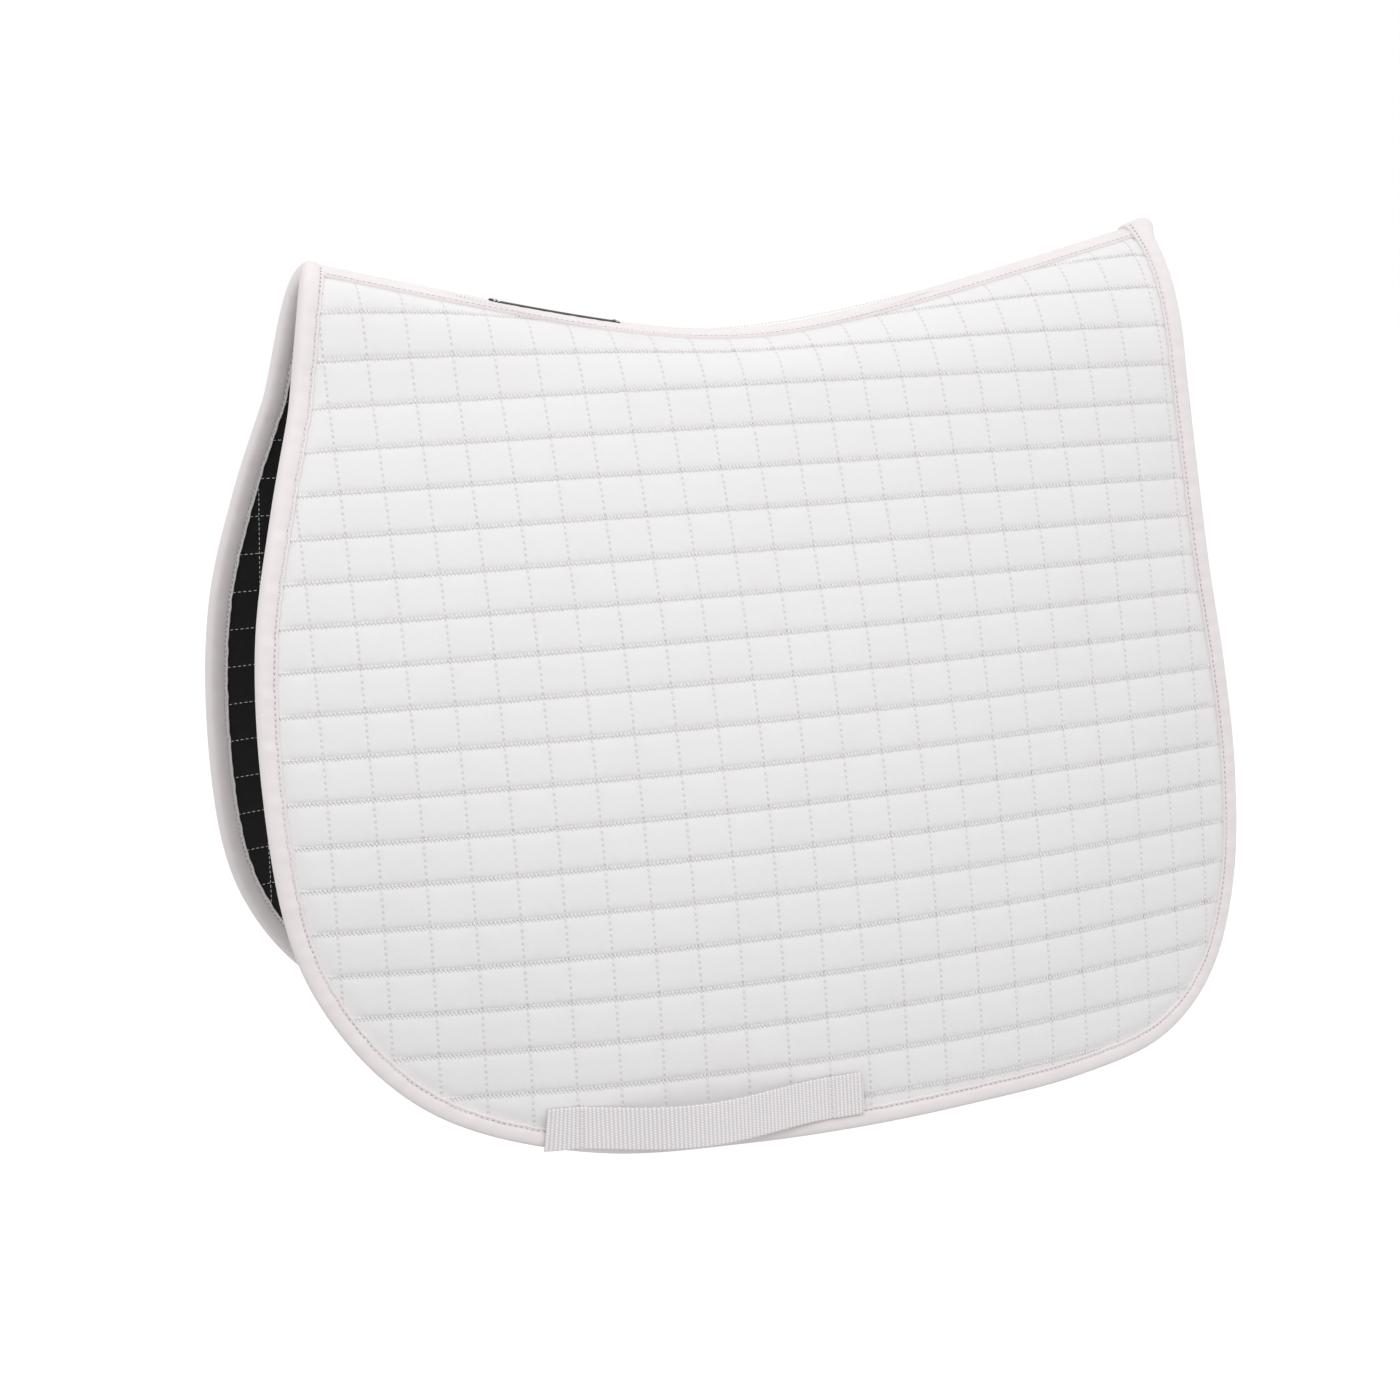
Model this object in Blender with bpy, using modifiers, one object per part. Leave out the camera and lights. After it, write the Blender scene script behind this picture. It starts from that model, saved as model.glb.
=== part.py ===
"""A quilted saddle pad with two flaps, hanging over a horse's back.

The horse's head is towards -X, the left flap is on the -Y side, and +Z is up. The origin is
on the underside of the spine seam, in the middle of the back, where the horse holds it up.

Each flap is cut from flat cloth. A place on the flat cloth is (u, v): u runs along the horse
and v runs down the flap, from the middle of the flap. drape() gives the place in space.
"""

import math

import bmesh
import bpy
from mathutils import Vector

# Driving dimensions, in metres.
SQUARE = 0.0254  # one quilted square
HALF_LENGTH = 11 * SQUARE  # the quilting is 22 squares long
FOLD_ROW = -7 * SQUARE  # v of the fold where a flap swings
FOLD_GAP = 0.004  # room for the fold
BINDING_START = 0.006  # the share of a flap's cut edge that its binding leaves free at the fold
SEAM_GAP = 0.004  # how far each half's layers stop short of the spine seam, under its tapes
TAPE_WIDTH = 0.025
BINDING_WIDTH = 0.012
BINDING_CLOTH = 0.0009
COVER = 0.0012
WADDING = 0.0052
LINING = 0.0010
GAP = 0.0004
TAPE_GAP = 0.0012  # more room inside the curved top of the pad
INNER_GAP = 0.0006  # the binding's slack under the lining
EDGE_ROOM = 0.0016  # slack inside the fold of the binding
SKIN_EDGE = BINDING_CLOTH + EDGE_ROOM  # how far the layers stop short of the cut edge
PAD = COVER + WADDING + LINING + 2 * GAP

# The line of the spine: a rounded dip between the withers and the loin.
ORIGIN_DROP = 0.184
DIP_HEIGHT = 0.195
DIP_X = 0.010
DIP_SLOPE = 0.25
DIP_ROUND = 0.020
WITHER_END = -0.256
LOIN_END = 0.300
ROOF_SLOPE = math.radians(12)  # how the pad falls away on both sides of the seam

# The straight line that a flap swings about runs just outside the curved fold.
SWING_OUT = 0.052
SWING_SPREAD = 0.0462  # how much farther out it lies towards the rear, per metre of length

# The cut edge of a flap below the fold, as (u, v), from the front over the bottom to the rear.
FRONT_EDGE = [(-0.276, -0.178), (-0.294, -0.116), (-0.310, -0.043), (-0.314, 0.040), (-0.307, 0.125)]
FRONT_CURVE = [(-0.286, 0.181), (-0.250, 0.226), (-0.204, 0.253), (-0.135, 0.270)]
BOTTOM_EDGE = [(-0.058, 0.273), (0.019, 0.273), (0.096, 0.271), (0.173, 0.268)]
REAR_CURVE = [(0.240, 0.257), (0.284, 0.223), (0.306, 0.166)]
REAR_EDGE = [(0.311, 0.098), (0.307, 0.028), (0.300, -0.043), (0.297, -0.114), (0.296, -0.178)]
CUT_EDGE = FRONT_EDGE + FRONT_CURVE + BOTTOM_EDGE + REAR_CURVE + REAR_EDGE
FRONT_CORNER = len(FRONT_EDGE) + 1  # the point of CUT_EDGE that ends the front side
REAR_CORNER = len(CUT_EDGE) - len(REAR_EDGE) - 2  # and the one that starts the rear side

# The loop of webbing that the girth passes through.
STRAP_FRONT = (-0.1716, 0.2508)
STRAP_REAR = (0.0189, 0.2509)
STRAP_WIDTH = 0.025
STRAP_THICKNESS = 0.0015
STRAP_TAB = 0.020
STRAP_BULGE = 0.012
STRAP_LIFT = 2 * GAP + BINDING_CLOTH + GAP
STITCHING = 0.0005
STITCHING_MARGIN = 0.003  # how far a sewn box stays inside its tab

# The blank woven label on the spine.
LABEL_FRONT = -0.146
LABEL_REAR = -0.066
LABEL_WIDTH = 0.009
LABEL_THICKNESS = 0.0006
LABEL_END = 0.004

# How finely the shapes are cut.
FLAP_CELLS = (16, 12)
CROWN_CELLS = (22, 6)
EDGE_CELLS = 60
ARCH_CELLS = 2 * CROWN_CELLS[1]
TAPE_CELLS = 24
STRAP_CELLS = 18
LENGTH_STEPS = 8  # the crown's length is measured over this many steps
SMALL_STEP = 1e-4

# Each kind of piece's colour and roughness.
FINISHES = {
    "cover": ((0.84, 0.83, 0.82), 0.85),
    "wadding": ((0.90, 0.90, 0.88), 0.95),
    "lining": ((0.015, 0.015, 0.017), 0.80),
    "binding": ((0.87, 0.81, 0.81), 0.55),
    "tape": ((0.87, 0.81, 0.81), 0.55),
    "label": ((0.02, 0.018, 0.02), 0.60),
    "strap": ((0.82, 0.80, 0.79), 0.75),
    "stitching": ((0.90, 0.88, 0.87), 0.60),
}

LEFT = -1
RIGHT = 1
SIDES = {"left": LEFT, "right": RIGHT}


def spine_point(u):
    height = DIP_HEIGHT - DIP_ROUND + math.hypot(DIP_ROUND, DIP_SLOPE * (u - DIP_X))
    return Vector((u, 0, height - ORIGIN_DROP))


def flap_point(u, v):
    """The hanging flap below the fold: its sides curl in, and it falls more steeply lower down."""
    across = u / HALF_LENGTH
    middle = 0.107 + 0.00835 * across - 0.01545 * across**2
    spread = 0.30 - 0.117 * across**2
    steepening = 0.39 - 0.12 * across - 0.11 * across**2
    out = middle + spread * v - steepening * v**2
    height = -0.955 * v - 0.117 * v**2
    return Vector((u, out, height - ORIGIN_DROP))


def crown_point(u, share):
    """The rounded top between the spine seam, at share 0, and the fold, at share 1."""
    start = spine_point(u)
    end = flap_point(u, FOLD_ROW)
    reach = (end - start).length
    first = Vector((0, math.cos(ROOF_SLOPE), -math.sin(ROOF_SLOPE))) * reach
    below = flap_point(u, FOLD_ROW + SMALL_STEP) - end
    last = below.normalized() * reach
    t = share
    return (
        start * (2 * t**3 - 3 * t**2 + 1)
        + first * (t**3 - 2 * t**2 + t)
        + end * (3 * t**2 - 2 * t**3)
        + last * (t**3 - t**2)
    )


def crown_length(u):
    points = [crown_point(u, step / LENGTH_STEPS) for step in range(LENGTH_STEPS + 1)]
    return sum((b - a).length for a, b in zip(points, points[1:]))


def outer_face(u, v):
    """The pad's outer face at (u, v), on the +Y side."""
    if v >= FOLD_ROW:
        return flap_point(u, v)
    return crown_point(u, 1 + (v - FOLD_ROW) / crown_length(u))


def drape(side, u, v, lift):
    """The place of (u, v) on one flap, lifted off the outer face by this much."""
    along = outer_face(u + SMALL_STEP, v) - outer_face(u - SMALL_STEP, v)
    down = outer_face(u, v + SMALL_STEP) - outer_face(u, v - SMALL_STEP)
    place = outer_face(u, v) + along.cross(down).normalized() * lift
    return Vector((place.x, side * place.y, place.z))


def ridge_point(u, lift):
    """The place above the spine seam where the lifted faces of the two halves meet."""
    along = spine_point(u + SMALL_STEP) - spine_point(u - SMALL_STEP)
    up = Vector((-along.z, 0, along.x)).normalized()
    return spine_point(u) + up * lift / math.cos(ROOF_SLOPE)


def smooth_edge(points, place):
    """A point of the curve through all the points, with its heading; place runs from 0 to 1."""
    along = place * (len(points) - 1)
    index = min(int(along), len(points) - 2)
    t = along - index
    around = [points[min(max(index + k, 0), len(points) - 1)] for k in (-1, 0, 1, 2)]
    a, b, c, d = [Vector(point) for point in around]
    point = b + 0.5 * t * ((c - a) + t * ((2 * a - 5 * b + 4 * c - d) + t * (3 * (b - c) + d - a)))
    heading = 0.5 * ((c - a) + 2 * t * (2 * a - 5 * b + 4 * c - d) + 3 * t**2 * (3 * (b - c) + d - a))
    return point, heading.normalized()


def cut_edge(place, inset):
    """A point of the flap's cut edge moved into the cloth by inset; place runs from 0 to 1."""
    point, heading = smooth_edge(CUT_EDGE, place)
    return point + Vector((heading.y, -heading.x)) * inset


def flap_place(across, down):
    """A flap layer's (u, v): a patch between the fold and the three sides of the cut edge."""
    last = len(CUT_EDGE) - 1
    front_share = FRONT_CORNER / last
    rear_share = REAR_CORNER / last
    front = cut_edge(down * front_share, SKIN_EDGE)
    rear = cut_edge(1 - down * (1 - rear_share), SKIN_EDGE)
    bottom = cut_edge(front_share + across * (rear_share - front_share), SKIN_EDGE)
    top = cut_edge(0, SKIN_EDGE).lerp(cut_edge(1, SKIN_EDGE), across)
    corners = cut_edge(0, SKIN_EDGE).lerp(cut_edge(1, SKIN_EDGE), across) * (1 - down)
    corners += cut_edge(front_share, SKIN_EDGE).lerp(cut_edge(rear_share, SKIN_EDGE), across) * down
    place = front.lerp(rear, across) + top.lerp(bottom, down) - corners
    return place.x, place.y + FOLD_GAP / 2 * (1 - down)


def crown_edge(share, front):
    """The u of the crown's front or rear cut edge, from the seam, at share 0, to the fold."""
    top, bottom = (WITHER_END, CUT_EDGE[0][0]) if front else (LOIN_END, CUT_EDGE[-1][0])
    return top + (bottom - top) * share


def crown_place(across, down):
    """A crown layer's (u, v), kept inside the cut edges and off the seam and the fold."""
    front = crown_edge(down, True) + SKIN_EDGE
    rear = crown_edge(down, False) - SKIN_EDGE
    u = front + (rear - front) * across
    length = crown_length(u)
    v = FOLD_ROW - length + SEAM_GAP + (length - SEAM_GAP - FOLD_GAP / 2) * down
    return u, v


def new_material(name, colour, roughness, metallic=0.0):
    material = bpy.data.materials.new(name)
    material.use_nodes = True
    shader = material.node_tree.nodes["Principled BSDF"]
    shader.inputs["Base Color"].default_value = (*colour, 1)
    shader.inputs["Roughness"].default_value = roughness
    shader.inputs["Metallic"].default_value = metallic
    material.diffuse_color = (*colour, 1)
    return material


def cloth(name, cells, place, thickness, material):
    """A strip or panel of cloth: a flat grid laid at place(across, down), thickened inwards."""
    columns, rows = cells
    work = bmesh.new()
    bmesh.ops.create_grid(work, x_segments=columns, y_segments=rows, size=0.5)
    for vertex in work.verts:
        vertex.co = place(vertex.co.x + 0.5, 0.5 - vertex.co.y)
    bmesh.ops.recalc_face_normals(work, faces=work.faces)
    mesh = bpy.data.meshes.new(name)
    work.to_mesh(mesh)
    work.free()
    mesh.materials.append(material)
    part = bpy.data.objects.new(name, mesh)
    solid = part.modifiers.new("thickness", "SOLIDIFY")
    solid.thickness = thickness
    solid.offset = 0
    solid.use_even_offset = True
    return part


def layers():
    """Each layer's name, how far its middle is lifted off the outer face, and its thickness."""
    wadding_top = COVER + GAP
    lining_top = wadding_top + WADDING + GAP
    return [
        ("cover", -COVER / 2, COVER),
        ("wadding", -wadding_top - WADDING / 2, WADDING),
        ("lining", -lining_top - LINING / 2, LINING),
    ]


def flap_layer(name, side, lift, thickness, material):
    def place(across, down):
        return drape(side, *flap_place(across, down), lift)

    return cloth(name, FLAP_CELLS, place, thickness, material)


def crown_layer(name, side, lift, thickness, material):
    def place(across, down):
        return drape(side, *crown_place(across, down), lift)

    return cloth(name, CROWN_CELLS, place, thickness, material)


def binding_profile():
    """The folded binding's middle line, as (inset from the cut edge, lift off the outer face)."""
    half = BINDING_CLOTH / 2
    top = GAP + half
    bottom = -PAD - INNER_GAP - half
    return [(BINDING_WIDTH, top), (half, top), (half, bottom), (BINDING_WIDTH, bottom)]


def profile_point(profile, share):
    return profile[round(share * (len(profile) - 1))]


def flap_binding(name, side, material):
    profile = binding_profile()

    def place(across, down):
        inset, lift = profile_point(profile, down)
        point = cut_edge(BINDING_START + across * (1 - 2 * BINDING_START), inset)
        return drape(side, point.x, point.y, lift)

    return cloth(name, (EDGE_CELLS, len(profile) - 1), place, BINDING_CLOTH, material)


def arch_binding(name, front, material):
    """The binding over the withers or the loin, from one fold over the seam to the other."""
    profile = binding_profile()

    def place(across, down):
        inset, lift = profile_point(profile, down)
        side = LEFT if across < 0.5 else RIGHT
        share = abs(2 * across - 1)
        u = crown_edge(share, front) + (inset if front else -inset)
        length = crown_length(u)
        v = FOLD_ROW - length + (length - FOLD_GAP / 2) * share
        if share == 0:
            return ridge_point(u, lift)
        return drape(side, u, v, lift)

    return cloth(name, (2 * ARCH_CELLS, len(profile) - 1), place, BINDING_CLOTH, material)


def spine_strip(name, ends, width, lift, thickness, cells, material):
    """A flat strip along the spine, half of its width on each side of the seam."""

    def place(across, down):
        u = ends[0] + (ends[1] - ends[0]) * across
        off = (down - 0.5) * width
        if abs(off) < SMALL_STEP:
            return ridge_point(u, lift)
        return drape(math.copysign(1, off), u, FOLD_ROW - crown_length(u) + abs(off), lift)

    return cloth(name, (cells, 4), place, thickness, material)


def strap_point(side, along, off, lift):
    """A point of the girth strap: along from 0 to 1, off from its middle line, lifted."""
    front = Vector(STRAP_FRONT)
    rear = Vector(STRAP_REAR)
    length = (rear - front).length
    heading = (rear - front).normalized()
    tab = STRAP_TAB / length
    free = min(max((along - tab) / (1 - 2 * tab), 0), 1)
    bulge = STRAP_BULGE * math.sin(math.pi * free) ** 2
    point = front.lerp(rear, along) + Vector((-heading.y, heading.x)) * off
    return drape(side, point.x, point.y, lift + bulge)


def girth_strap(name, side, material):
    def place(across, down):
        lift = STRAP_LIFT + STRAP_THICKNESS / 2
        return strap_point(side, across, (down - 0.5) * STRAP_WIDTH, lift)

    return cloth(name, (STRAP_CELLS, 1), place, STRAP_THICKNESS, material)


def strap_stitching(name, side, at_front, material):
    """The sewn box on one end tab of a girth strap."""
    length = (Vector(STRAP_REAR) - Vector(STRAP_FRONT)).length
    size = STRAP_TAB - 2 * STITCHING_MARGIN
    start = STITCHING_MARGIN if at_front else length - STRAP_TAB + STITCHING_MARGIN

    def place(across, down):
        along = (start + across * size) / length
        lift = STRAP_LIFT + STRAP_THICKNESS + GAP + STITCHING / 2
        return strap_point(side, along, (down - 0.5) * (STRAP_WIDTH - 2 * STITCHING_MARGIN), lift)

    return cloth(name, (1, 1), place, STITCHING, material)


def swing_axis(name, side, collection):
    """An empty whose X axis is the line that a flap swings about."""
    empty = bpy.data.objects.new(name, None)
    empty.location = (0, side * SWING_OUT, flap_point(0, FOLD_ROW).z)
    empty.rotation_euler.z = math.atan(side * SWING_SPREAD)
    collection.objects.link(empty)
    return empty


def add(collection, part, parent=None):
    collection.objects.link(part)
    if parent:
        part.parent = parent
        part.matrix_parent_inverse = parent.matrix_world.inverted()


def build_flap(collection, word, side):
    origin = swing_axis(word + "_flap_axis", side, collection)
    bpy.context.view_layer.update()
    for layer, lift, thickness in layers():
        name = word + "_" + layer
        add(collection, flap_layer(name, side, lift, thickness, paint(name)), origin)
    name = word + "_edge_binding"
    add(collection, flap_binding(name, side, paint(name)), origin)
    name = word + "_girth_strap"
    add(collection, girth_strap(name, side, paint(name)), origin)
    for end in ("front", "rear"):
        name = word + "_strap_" + end + "_stitching"
        add(collection, strap_stitching(name, side, end == "front", paint(name)), origin)


def build_crown(collection):
    for word, side in SIDES.items():
        for layer, lift, thickness in layers():
            name = word + "_" + layer + "_top"
            add(collection, crown_layer(name, side, lift, thickness, paint(name)))
    add(collection, arch_binding("wither_binding", True, paint("wither_binding")))
    add(collection, arch_binding("rear_binding", False, paint("rear_binding")))
    inside = BINDING_WIDTH + 2 * GAP
    ends = (WITHER_END + inside, LOIN_END - inside)
    half = BINDING_CLOTH / 2
    for name, lift in (("spine_tape", GAP + half), ("inner_tape", -PAD - TAPE_GAP - half)):
        strip = spine_strip(name, ends, TAPE_WIDTH, lift, BINDING_CLOTH, TAPE_CELLS, paint(name))
        add(collection, strip)
    lift = 2 * GAP + BINDING_CLOTH + LABEL_THICKNESS / 2
    ends = (LABEL_FRONT, LABEL_REAR)
    strip = spine_strip("spine_label", ends, LABEL_WIDTH, lift, LABEL_THICKNESS, 4, paint("spine_label"))
    add(collection, strip)
    lift += LABEL_THICKNESS / 2 + GAP + STITCHING / 2
    for end, start in (("front", LABEL_FRONT), ("rear", LABEL_REAR - LABEL_END)):
        name = "label_" + end + "_stitching"
        ends = (start, start + LABEL_END)
        add(collection, spine_strip(name, ends, LABEL_WIDTH, lift, STITCHING, 1, paint(name)))


def paint(name):
    """Each part's own material, in the finish that its name calls for."""
    kind = next(word for word in reversed(name.split("_")) if word in FINISHES)
    return new_material(name, *FINISHES[kind])


def clear_scene():
    for old in list(bpy.data.objects):
        bpy.data.objects.remove(old, do_unlink=True)


def main():
    clear_scene()
    collection = bpy.data.collections.new("saddle_pad")
    bpy.context.scene.collection.children.link(collection)
    build_crown(collection)
    for word, side in SIDES.items():
        build_flap(collection, word, side)


main()
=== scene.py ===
"""The quilted saddle pad in its real cloth, stitching and binding, on the CAD frame.

A place on the flat cloth is (u, v): u runs along the horse from the middle of a flap towards
the tail, and v runs down the flap. drape() gives the place in space, as it does in the CAD.
Lengths are in metres. Arrays hold one place in each row.
"""

import math

import bpy
import numpy as np
from mathutils import Matrix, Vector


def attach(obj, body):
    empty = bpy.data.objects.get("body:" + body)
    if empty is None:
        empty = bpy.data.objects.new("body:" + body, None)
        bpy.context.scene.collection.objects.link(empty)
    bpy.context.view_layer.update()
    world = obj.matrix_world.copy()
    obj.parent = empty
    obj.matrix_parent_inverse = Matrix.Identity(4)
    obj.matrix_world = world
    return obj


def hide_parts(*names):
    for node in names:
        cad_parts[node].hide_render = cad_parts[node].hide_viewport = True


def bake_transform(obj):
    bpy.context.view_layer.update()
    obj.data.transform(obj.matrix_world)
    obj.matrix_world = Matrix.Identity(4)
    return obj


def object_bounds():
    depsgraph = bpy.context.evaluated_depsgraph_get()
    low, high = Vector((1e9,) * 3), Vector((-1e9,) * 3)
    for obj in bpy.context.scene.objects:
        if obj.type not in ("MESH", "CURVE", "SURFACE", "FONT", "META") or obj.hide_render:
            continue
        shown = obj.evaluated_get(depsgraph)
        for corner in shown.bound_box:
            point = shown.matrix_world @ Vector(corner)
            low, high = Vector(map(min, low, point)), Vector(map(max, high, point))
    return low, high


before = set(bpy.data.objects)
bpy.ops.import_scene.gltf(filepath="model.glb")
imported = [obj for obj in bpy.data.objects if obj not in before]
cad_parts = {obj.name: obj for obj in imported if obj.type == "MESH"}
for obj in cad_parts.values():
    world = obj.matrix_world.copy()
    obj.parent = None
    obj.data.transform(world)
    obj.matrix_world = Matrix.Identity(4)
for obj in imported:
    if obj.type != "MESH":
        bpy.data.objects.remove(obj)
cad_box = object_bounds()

# The cloth's measures, as in the CAD.
SQUARE = 0.0254
HALF_LENGTH = 11 * SQUARE
FOLD_ROW = -7 * SQUARE
PAD = 0.0082  # thickness between the outer face and the lining's face
ORIGIN_DROP = 0.184
DIP_HEIGHT = 0.195
DIP_X = 0.010
DIP_SLOPE = 0.25
DIP_ROUND = 0.020
WITHER_END = -0.256
LOIN_END = 0.300
ROOF_SLOPE = math.radians(12)
FRONT_EDGE = [(-0.276, -0.178), (-0.294, -0.116), (-0.310, -0.043), (-0.314, 0.040), (-0.307, 0.125)]
FRONT_CURVE = [(-0.286, 0.181), (-0.250, 0.226), (-0.204, 0.253), (-0.135, 0.270)]
BOTTOM_EDGE = [(-0.058, 0.273), (0.019, 0.273), (0.096, 0.271), (0.173, 0.268)]
REAR_CURVE = [(0.240, 0.257), (0.284, 0.223), (0.306, 0.166)]
REAR_EDGE = [(0.311, 0.098), (0.307, 0.028), (0.300, -0.043), (0.297, -0.114), (0.296, -0.178)]
CUT_EDGE = FRONT_EDGE + FRONT_CURVE + BOTTOM_EDGE + REAR_CURVE + REAR_EDGE
EDGE_STEP = 0.0025  # between the places along a binding
SMALL_STEP = 1e-4
SIDES = {"left": -1, "right": 1}

# The quilting.
CELLS = 12  # mesh cells across one square
STEP = SQUARE / CELLS
CLOTH_ALONG, CLOTH_DOWN = (-0.33, 0.33), (-0.32, 0.29)  # the mesh's reach in u and in v, before it is cut
SEWN_ALONG, SEWN_DOWN = (-0.32, 0.32), (-0.31, 0.29)  # the same for the sewing lines
CLOTH_INSET = 0.004  # the quilted cloth ends this far inside the binding's fold
FLAT_MARGIN = 0.011  # the quilting beside a binding comes up to its full height over this width
TILE = 6  # squares along each side of the simulated patch
COLUMN_RISE = 0.0021  # how far the columns of stitches ride up between two rows
PUFF_CAP = 0.0045  # the farthest that the simulation may move a place
FULL_RISE = 0.0022  # the wadding holds the cloth level at about this height
PINCH = 0.0010  # how far the first cells beside a row of stitches are drawn in to it
LINE_DEPTH = 0.0010  # how far the sewn lines are sunk
LINING_SHARE = 0.4  # how far the lining swells, as a share of the cover
SIM_SCALE = 10  # the patch is simulated this much larger
SIM_FRAMES = 20
SEED = 7
PICKS = 64  # the random picks of puffs repeat after this many squares

# The thread.
ROW_PITCH = 0.0023
COLUMN_PITCH = 0.0035
EDGE_PITCH = 0.0034
LINING_PITCH = 0.0033
ROW_SLANT = 0.0028  # how far one end of a row's stitch lies below its other end
THREAD = 0.00045
ROW_THREAD = 0.00085
ROW_REACH = 0.0015  # how far the row stitches reach up over the puff above
ROW_CLEAR = 0.0004  # how far the row stitches stand off the swelling cloth
OPEN_SHARE = 0.3  # the share of its pitch that a stitch leaves open
ROW_OPEN_SHARE = 0.7  # the same for the slanting stitches of a row
UP_STEP = 0.001  # from a stitch to a place above it

# The bindings and the tapes along the spine.
BINDING_WIDTH = 0.012
BINDING_GROOVE = 0.0103  # the inset of its stitch line
BINDING_LIFT = 0.0010  # of the stitches on it
ARCH_SHARE = 0.30  # how far down the crown the bindings over the spine reach
CORNER_REACH = 0.007  # how far the folded rear corner stands out behind the cut edge
TAPE_WIDTH = 0.025
TAPE_GROOVE = TAPE_WIDTH / 2 * 0.84  # the distance of each stitch line from the spine seam
# The tape's height over its base at shares of its half width: plain, and beside the label.
TAPE_PLAIN = [(0, 1.2), (0.25, 1.25), (0.36, 1.2), (0.44, 1.15), (0.55, 1.1), (0.74, 0.9)]
TAPE_BESIDE_LABEL = [(0, 0.5), (0.25, 0.6), (0.36, 0.8), (0.44, 1.7), (0.55, 1.5), (0.74, 0.9)]
TAPE_LIP = [(0.84, 0.4), (0.92, 0.85), (0.98, 0.5), (1.0, -1.2)]

# The label on the seam.
LABEL_FRONT = -0.146
LABEL_REAR = -0.066
LABEL_WIDTH = 0.009
LABEL_EASE = 0.006  # the tape opens round the label over this length
LABEL_TACK = 0.0024  # the length of each stitch that holds it

# The girth straps.
STRAP_FRONT = (-0.1716, 0.2508)
STRAP_REAR = (0.0189, 0.2509)
STRAP_LENGTH = math.dist(STRAP_FRONT, STRAP_REAR)
STRAP_WIDTH = 0.025
STRAP_TAB = 0.020  # the sewn stretch at each end
STRAP_SKEW = 0.0030  # how far the front end of the strap was cut off square
STRAP_BULGE = 0.012
STRAP_DROOP = 0.0026
STRAP_TOP = 0.0034  # the lift of its outer face where it is sewn
STRAP_UNDER = 0.0024  # the lift of its inner face
RIB_PITCH = 0.0024
RIB_STEPS = 8  # mesh steps along each rib
RIB_RELIEF = 0.00050
KNOT_PITCH = 0.0015
TACK_DEPTH = 0.0006  # how deep the stitches draw the webbing in

# The camera stands to the front left of the pad, a little above it.
CAMERA_PLACE = (-0.5628, -1.3644, 0.1211)
CAMERA_YAW = math.radians(21.81)
CAMERA_PITCH = math.radians(13.06)
CAMERA_ROLL = math.radians(1.05)
CAMERA_LENS = 61.26

# The studio.
FLOOR_DROP = 0.90  # the pad is held up, this far clear of the floor
FLOOR_REACH = 14.0
LIGHT_LEVEL = 0.81
LIGHT_TILT = (0.09, 0.08, 0.26)  # how much stronger the light is towards +X, +Y and +Z
KEY_PLACE = (-0.6, -1.5, 1.1)
KEY_TARGET = (0, 0, -0.15)
KEY_SIZE = 1.0
KEY_POWER = 10


def spine_point(u):
    height = DIP_HEIGHT - DIP_ROUND + np.hypot(DIP_ROUND, DIP_SLOPE * (u - DIP_X))
    return np.stack([u, 0 * u, height - ORIGIN_DROP], axis=-1)


def flap_point(u, v):
    across = u / HALF_LENGTH
    middle = 0.107 + 0.00835 * across - 0.01545 * across**2
    spread = 0.30 - 0.117 * across**2
    steepening = 0.39 - 0.12 * across - 0.11 * across**2
    out = middle + spread * v - steepening * v**2
    height = -0.955 * v - 0.117 * v**2
    return np.stack([u, out, height - ORIGIN_DROP], axis=-1)


def unit(vectors):
    return vectors / np.linalg.norm(vectors, axis=-1, keepdims=True)


def crown_point(u, share):
    """The rounded top between the spine seam, at share 0, and the fold, at share 1."""
    start = spine_point(u)
    end = flap_point(u, FOLD_ROW + 0 * u)
    reach = np.linalg.norm(end - start, axis=-1, keepdims=True)
    first = np.array([0, math.cos(ROOF_SLOPE), -math.sin(ROOF_SLOPE)]) * reach
    last = unit(flap_point(u, FOLD_ROW + SMALL_STEP + 0 * u) - end) * reach
    t = np.asarray(share)[..., None]
    return (
        start * (2 * t**3 - 3 * t**2 + 1)
        + first * (t**3 - 2 * t**2 + t)
        + end * (3 * t**2 - 2 * t**3)
        + last * (t**3 - t**2)
    )


def crown_length(u):
    points = [crown_point(u, share + 0 * u) for share in np.linspace(0, 1, 9)]
    return sum(np.linalg.norm(b - a, axis=-1) for a, b in zip(points, points[1:]))


def seam_row(u):
    """The v of the spine seam."""
    return FOLD_ROW - crown_length(u)


def outer_face(u, v):
    share = 1 + np.minimum(v - FOLD_ROW, 0) / crown_length(u)
    crown = crown_point(u, share)
    return np.where((v < FOLD_ROW)[..., None], crown, flap_point(u, v))


def drape(side, u, v, lift):
    """The places of (u, v) on one flap, lifted off the outer face by this much."""
    u, v = np.asarray(u, float), np.asarray(v, float)
    along = outer_face(u + SMALL_STEP, v) - outer_face(u - SMALL_STEP, v)
    down = outer_face(u, v + SMALL_STEP) - outer_face(u, v - SMALL_STEP)
    up = unit(np.cross(along, down))
    places = outer_face(u, v) + up * np.asarray(lift)[..., None]
    return places * np.array([1, side, 1])


def over_seam(u, off, lift):
    """Places across the spine: off is the distance from the seam, negative on the left."""
    off = np.where(np.abs(off) < 2 * SMALL_STEP, 2 * SMALL_STEP, off)
    v = seam_row(u) + np.abs(off)
    right = drape(1, u, v, lift)
    return right * np.stack([1 + 0 * off, np.sign(off), 1 + 0 * off], axis=-1)


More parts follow.
